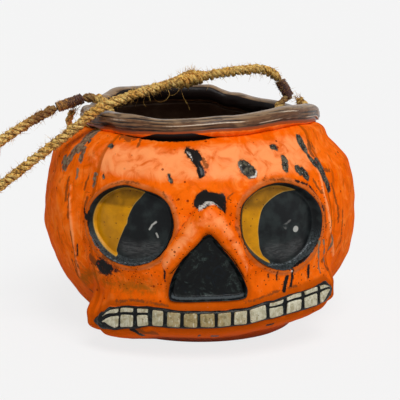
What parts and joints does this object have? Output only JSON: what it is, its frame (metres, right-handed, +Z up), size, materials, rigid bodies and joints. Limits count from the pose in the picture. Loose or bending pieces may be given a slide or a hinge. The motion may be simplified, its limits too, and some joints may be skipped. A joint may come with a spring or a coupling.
{
  "type": "pottery halloween bucket",
  "caption": "Hand-built pottery pumpkin bucket with a jack-o'-lantern face, a rolled brown lip and a long rope handle tied through its neck.",
  "frame": {"origin": "middle of the foot, on the surface that the bucket stands on", "axes": "+Z up, the face looks along -Y, +X is the viewer's right when looking at the face"},
  "size_m": [0.3349, 0.1979, 0.1525],
  "materials": {
    "orange_glaze": "hand-brushed satin glaze",
    "brown_glaze": "glossy glaze, wiped thin on the high places",
    "black_glaze": "glossy black glaze, with yellow brushwork in the eyes",
    "ivory_glaze": "stained satin glaze",
    "rope_fibre": "laid plant fibre",
    "tarred_twine": "dark waxed twine"
  },
  "bodies": {
    "bucket": {"pot_body": "orange_glaze", "rim_coil": "brown_glaze", "eye_dish_left": "black_glaze", "eye_dish_right": "black_glaze", "nose_plate": "black_glaze", "nose_bridge": "orange_glaze", "mouth_lip": "black_glaze", "lower_tooth_01": "ivory_glaze", "lower_tooth_02": "ivory_glaze", "lower_tooth_03": "ivory_glaze", "lower_tooth_04": "ivory_glaze", "lower_tooth_05": "ivory_glaze", "lower_tooth_06": "ivory_glaze", "lower_tooth_07": "ivory_glaze", "lower_tooth_08": "ivory_glaze", "lower_tooth_09": "ivory_glaze", "lower_tooth_10": "ivory_glaze", "lower_tooth_11": "ivory_glaze", "lower_tooth_12": "ivory_glaze", "lower_tooth_13": "ivory_glaze", "lower_tooth_14": "ivory_glaze", "upper_tooth_01": "ivory_glaze", "upper_tooth_02": "ivory_glaze", "upper_tooth_03": "ivory_glaze", "upper_tooth_04": "ivory_glaze", "upper_tooth_05": "ivory_glaze", "upper_tooth_06": "ivory_glaze", "upper_tooth_07": "ivory_glaze", "rope_eye_left": "rope_fibre", "rope_eye_right": "rope_fibre", "binding_left": "tarred_twine", "binding_right": "tarred_twine"},
    "handle": {"handle_rope": "rope_fibre", "rope_splice": "rope_fibre"}
  },
  "joints": [
    {"name": "handle_swing", "type": "hinge", "parent": "bucket", "child": "handle", "pos_m": [-0.08683, 0.01476, 0.12754], "axis": [0.988, 0.1161, 0.1017], "range_deg": [-100, 0]}
  ]
}
